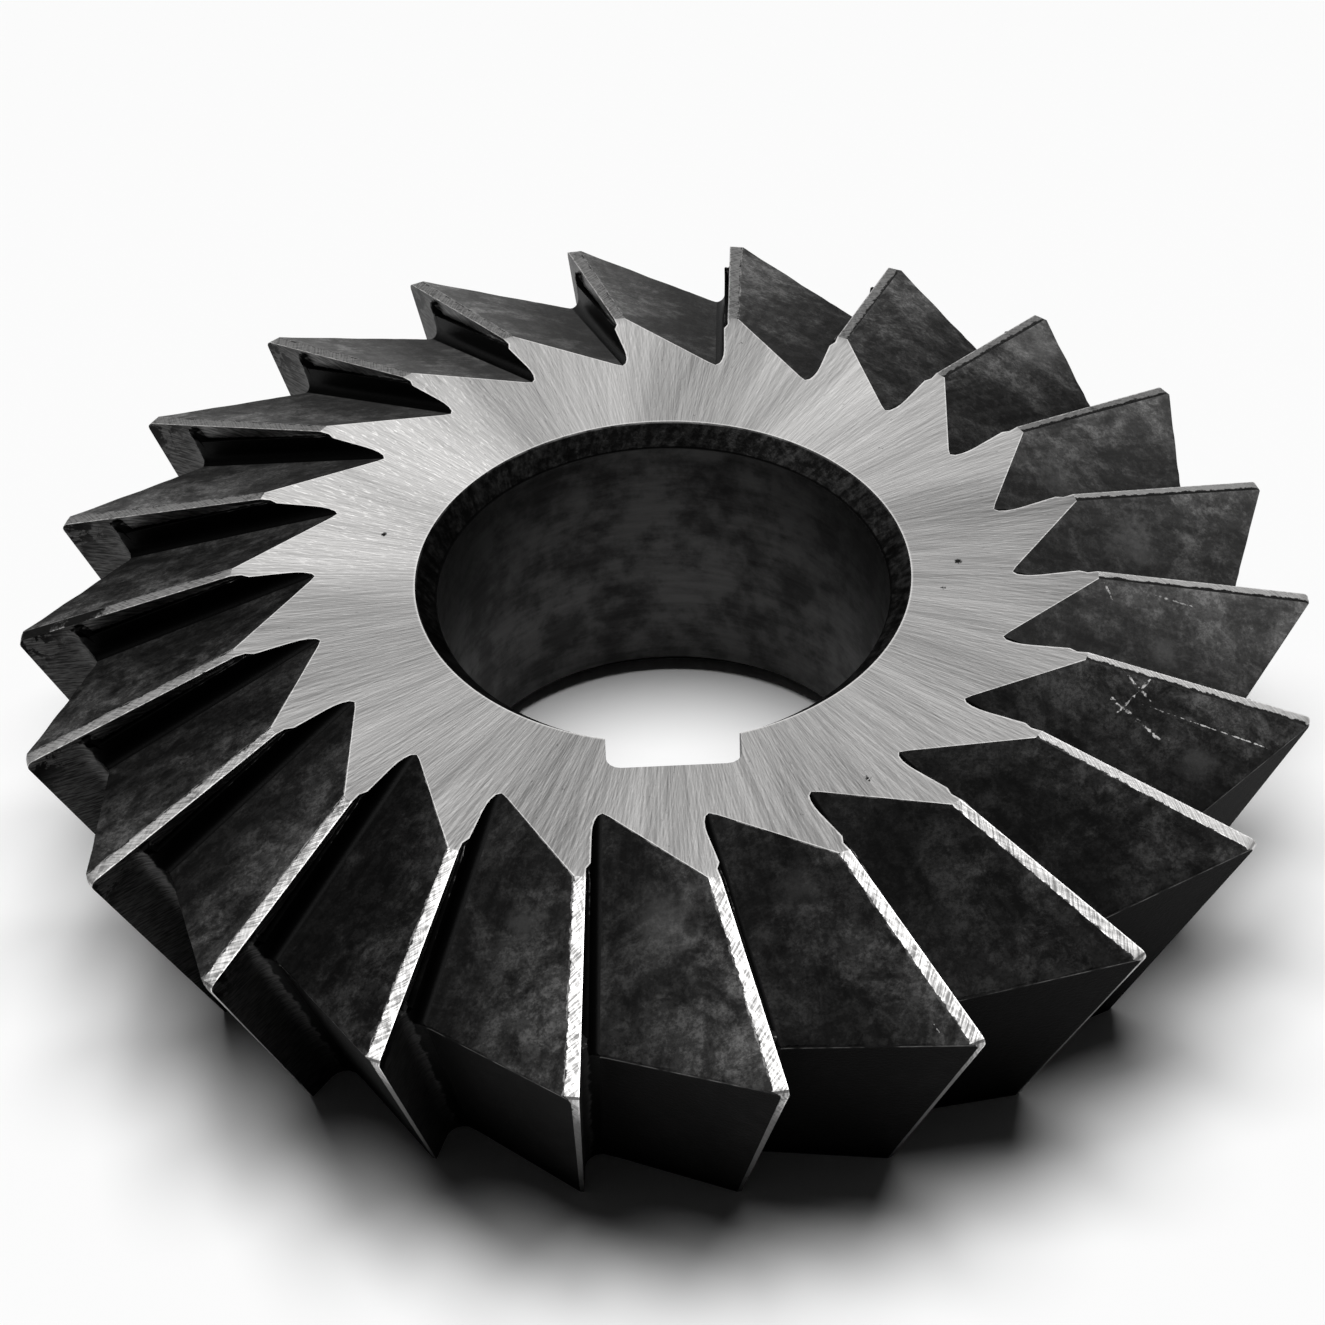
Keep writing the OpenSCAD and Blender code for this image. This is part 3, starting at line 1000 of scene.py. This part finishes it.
def scale_tone(p):
    """Tone of the scale, from 0 for black to 1 for rubbed grey."""
    clouds = p.ramp(p.noise(p.mm, 0.26, 8, 0.7, 0.5), 0.45, 0.6)
    mottle = p.ramp(p.noise(p.mm, 1.2, 8, 0.8, 0.3), 0.46, 0.58)
    specks = p.ramp(p.noise(p.mm, 5.0, 4, 0.75), 0.44, 0.62)
    tone = p.math("MULTIPLY_ADD", clouds, 0.36, 0.08)
    tone = p.math("MULTIPLY_ADD", p.math("MULTIPLY_ADD", clouds, 0.35, 0.2), mottle, tone)
    tone = p.math("MULTIPLY_ADD", p.ramp(milling_lines(p), 0.35, 0.65, -0.5, 0.5), 0.12, tone)
    return p.math("MULTIPLY", tone, p.math("MULTIPLY_ADD", specks, -0.65, 1.3))


# %% Tone, painted reflection and painted shade of the backs
LIGHT_SPOTS = (
    ((-0.4, -22.2, 14.8), 1.9),
    ((5.4, -20.8, 14.9), 1.3),
    ((23.2, 2.8, 14.4), 1.5),
    ((23.8, -4.6, 13.9), 1.1),
    ((19.8, 7.6, 15.0), 1.2),
    ((24.5, -11.6, 13.2), 1.0),
    ((20.4, 20.6, 13.5), 2.6),
    ((-6.6, -22.0, 14.6), 1.0),
)  # places and radii

p = Paint("milled_back")
tone = scale_tone(p)
for centre, radius in LIGHT_SPOTS:
    tone = p.math("MULTIPLY_ADD", spot(p, centre, radius, 0.0), 0.65, tone)
# The gullet's tone, with its painted reflection, evens out the scale and scales its colour.
evenness = p.ramp(p.mark("tone"), 1.0, 5.0, 0.1, 0.6)
tone = p.math("MULTIPLY_ADD", p.math("SUBTRACT", 0.33, tone), evenness, tone)
# Painted shade: the backs grow darker towards the root of each gullet.
painted_root_shade = p.ramp(p.mark("above_root"), 0.3, 3.2, 0.22, 1.0)
upper_part = p.ramp(p.mark("ridge"), -0.15, 0.25, 1.0, 0.0)
# Painted shade: below the ridge, the backs of the lower gullets, which face down, are made almost
# black.
painted_shade_below_ridge = p.ramp(upper_part, 0.0, 1.0, 0.03, 1.0)
tone = p.math("MULTIPLY", tone, p.math("MULTIPLY", painted_root_shade, painted_shade_below_ridge))
color = p.scaled(p.mix(tone, grey(0.002), grey(0.095)), p.mark("tone"))

# %% Bare metal and painted highlight on the backs
SCRATCHES = (
    ((22.2, -9.1, 14.7), (28.1, -10.6, 13.0), 0.03),
    ((22.7, -7.9, 15.2), (21.0, -9.6, 14.7), 0.045),
    ((20.8, -9.0, 15.0), (22.9, -10.7, 13.9), 0.07),
    ((23.2, -10.6, 13.9), (25.2, -12.1, 13.0), 0.035),
    ((21.2, -1.6, 15.8), (22.0, -3.6, 15.1), 0.05),
    ((22.2, -1.5, 15.5), (25.8, -2.0, 14.4), 0.045),
    ((21.3, -7.4, 15.6), (22.6, -8.9, 14.8), 0.06),
    ((10.4, -26.7, 13.8), (11.3, -28.1, 13.2), 0.03),
)  # where each starts and ends, and its width

on_left = p.math("MULTIPLY", upper_part, p.ramp(p.x, 4.0, 14.0, 0.4, 0.0))
nicks = p.math("MULTIPLY", worn_edge_and_glint(p, 0.05, 0.05), on_left)
# The bright line along the ridge is partly wear, partly painted highlight where the ridge catches
# the light.
ridge_wear_and_glint = p.ramp(p.math("ABSOLUTE", p.mark("ridge")), 0.0, 0.08, 0.35, 0.0)
rubbed = p.ramp(p.noise(p.mm, 0.9, 3), 0.4, 0.6)
worn = p.math("MULTIPLY", p.math("MAXIMUM", nicks, ridge_wear_and_glint), rubbed)
for start, end, width in SCRATCHES:
    worn = p.math("MAXIMUM", worn, scratch(p, start, end, width))
color = p.mix(worn, color, grey(0.6))
relief = p.bump(milling_lines(p), 0.015, p.bump(p.noise(p.mm, 5.0, 4, 0.65), 0.03))
mesh.materials.append(p.finish(color, p.ramp(tone, 0.0, 1.0, 0.68, 0.52), relief, worn, 0.035))

# %% [markdown]
# ## Cutting faces
#
# A cutting face has three parts: the ground quarter at the tip, the ground margin under the upper
# edge, and the black wall between them. The wall grows darker towards the root, and the ground
# parts
# are dark greys: painted shade. The kept distances say which is which.

# %% Wall and ground colours of the cutting face, with painted shade
p = Paint("cutting_face")
# Painted shade: the black wall grows darker still towards the root.
tone = p.math("MULTIPLY", scale_tone(p), p.ramp(p.mark("above_root"), 0.3, 2.0, 0.02, 0.15))
wall = p.mix(tone, grey(0.001), grey(0.03))
squeezed = p.vector(p.math("MULTIPLY", p.r, 1.2), p.math("MULTIPLY", p.z, 9.0))
strokes = p.ramp(p.noise(squeezed, 1.0, 3, 0.6), 0.35, 0.65)
# Painted shade: though ground steel, the margin and the quarter are given dark greys.
margin = p.mix(strokes, grey(0.05), grey(0.17))
quarter = p.mix(strokes, grey(0.02), grey(0.085))
stain = p.ramp(p.noise(p.mm, 0.6, 5, 0.75, 0.4), 0.46, 0.52)
from_tip = p.math("ADD", p.mark("edge"), p.math("ABSOLUTE", p.mark("ridge")))
stained = p.math("MULTIPLY", stain, p.ramp(from_tip, 0.8, 3.2, 1.0, 0.0))
quarter = p.mix(stained, quarter, grey(0.002))

# %% Borders of the three parts
wander = p.ramp(p.noise(p.mm, 2.5, 3), 0.3, 0.7, -0.03, 0.03)
on_margin = p.ramp(p.math("ADD", p.mark("margin"), wander), -0.11, -0.06, 1.0, 0.0)
ragged = p.ramp(p.noise(p.mm, 1.6, 3), 0.3, 0.7, -0.06, 0.06)
on_quarter = p.ramp(p.math("ADD", p.mark("ground"), ragged), -0.05, 0.05, 1.0, 0.0)
color = p.mix(on_quarter, p.mix(on_margin, wall, margin), quarter)
relief = p.bump(p.noise(p.mm, 6.0, 4, 0.6), 0.01)
bare = p.math("MAXIMUM", on_quarter, on_margin)
mesh.materials.append(p.finish(color, 0.45, relief, bare, 0.04))

# %% [markdown]
# ## Bore
#
# The bore was ground and then darkened: streaks run round it. Its chamfers were cut quickly and
# chattered, so they are rough, with dark and light flecks. They are painted lighter towards the
# right side of the bore, and their bright rims are partly rubbed, partly painted highlight.

# %% Bore wall
STREAK_CELLS = (0.35, 0.35, 2.2)  # cells per mm: long round the bore, short along it

p = Paint("bore_wall")
streaks = p.noise(p.vectors("MULTIPLY", p.mm, STREAK_CELLS), 1.0, 5, 0.65)
clouds = p.noise(p.mm, 0.4, 6, 0.65)
cloudy = p.ramp(clouds, 0.36, 0.64, 0.0, 0.7)
tone = p.math("MULTIPLY_ADD", p.ramp(streaks, 0.3, 0.7), 0.3, cloudy)
wall = p.mix(tone, grey(0.012), grey(0.045))

# %% Chamfers, with painted light
flecks = p.math("MULTIPLY", p.noise(p.mm, 2.6, 5, 0.7), 0.5)
chatter = p.math("MULTIPLY_ADD", spokes(p, 26, 1.2, 0.05, 5), 0.5, flecks)
cone = p.mix(p.ramp(chatter, 0.42, 0.68), grey(0.008), grey(0.05))
# Painted light: the chamfer is made up to three times lighter towards the right side of the bore.
cone = p.scaled(cone, p.math("MULTIPLY_ADD", toward(p, 0.95, 0.2, 0.3, 0.95), 2.0, 1.0))
from_middle = p.math("ABSOLUTE", p.math("SUBTRACT", p.z, WIDTH / 2))
below_cone = p.math("SUBTRACT", p.r, from_middle)
below_cone = p.math("SUBTRACT", below_cone, BORE_R + CHAMFER - WIDTH / 2)
near_cone = p.ramp(below_cone, 0.04, 0.12, 1.0, 0.0)
on_cone = p.math("MULTIPLY", p.ramp(p.r, BORE_R + 0.02, BORE_R + 0.1), near_cone)
color = p.mix(on_cone, wall, cone)
# The bright rim is partly rubbed metal, partly painted highlight where the edge catches the light.
rim = p.ramp(p.r, BORE_R + CHAMFER - 0.09, BORE_R + CHAMFER - 0.02, 0.0, 0.6)
rim = p.math("MULTIPLY", p.math("MULTIPLY", rim, on_cone), p.ramp(clouds, 0.4, 0.6))
color = p.mix(rim, color, grey(0.6))
relief = p.bump(streaks, 0.006, p.bump(p.math("MULTIPLY", chatter, on_cone), 0.06))
mesh.materials.append(p.finish(color, p.ramp(tone, 0.0, 1.0, 0.55, 0.42), relief))

# %% Place in the frame
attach(cutter, "root")
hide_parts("cutter")
print("finishes in order:", ", ".join(material.name for material in mesh.materials))

# %% [markdown]
# ## Table and light
#
# A white table and two broad lamps high up, one on the left and one on the right, both a little
# behind. Their light glances off the near lands, which lean towards the camera, and the shadow
# stays short and close under the teeth.

# %% Table
TABLE_SIDE = 8.0  # metres, so that its end is out of the picture from most sides

bpy.ops.mesh.primitive_plane_add(size=TABLE_SIDE, location=(0, 0, 0))
floor = bpy.context.object
floor.name = "table"
p = Paint("white_table")
floor.data.materials.append(p.finish((0.96, 0.96, 0.96, 1), 0.8, metallic=0.0))

# %% Light
ROOM_LIGHT = 0.02
LAMP_STRENGTH, LAMP_SPREAD = 1.6, 30
ASIDE, BEHIND = 0.18, 0.12  # of a lamp's height

world = bpy.data.worlds.new("room")
bpy.context.scene.world = world
world.use_nodes = True
background = world.node_tree.nodes["Background"]
background.inputs["Color"].default_value = (1, 1, 1, 1)
background.inputs["Strength"].default_value = ROOM_LIGHT


def lamp(name, aim):
    """A wide, distant lamp that shines from the direction aim. Its frame has that direction as Z,
    and X square to it and to a nearly level line, by two cross products."""
    light = bpy.data.lights.new(name, "SUN")
    light.energy, light.angle = LAMP_STRENGTH, np.radians(LAMP_SPREAD)
    holder = bpy.data.objects.new(name, light)
    back = np.array(aim, float) / np.linalg.norm(aim)
    side = np.cross([0, 1, 0.01], back)
    side /= np.linalg.norm(side)
    turn = np.eye(4)
    turn[:3, :3] = np.stack([side, np.cross(back, side), back], 1)
    holder.matrix_world = Matrix(turn)
    bpy.context.scene.collection.objects.link(holder)


lamp("left", (-ASIDE, BEHIND, 1.0))
lamp("right", (ASIDE, BEHIND, 1.0))
print("two lamps,", round(np.degrees(np.arctan(np.hypot(ASIDE, BEHIND))), 1), "degrees off plumb")

# %% Colour management
bpy.context.scene.view_settings.view_transform = "Standard"
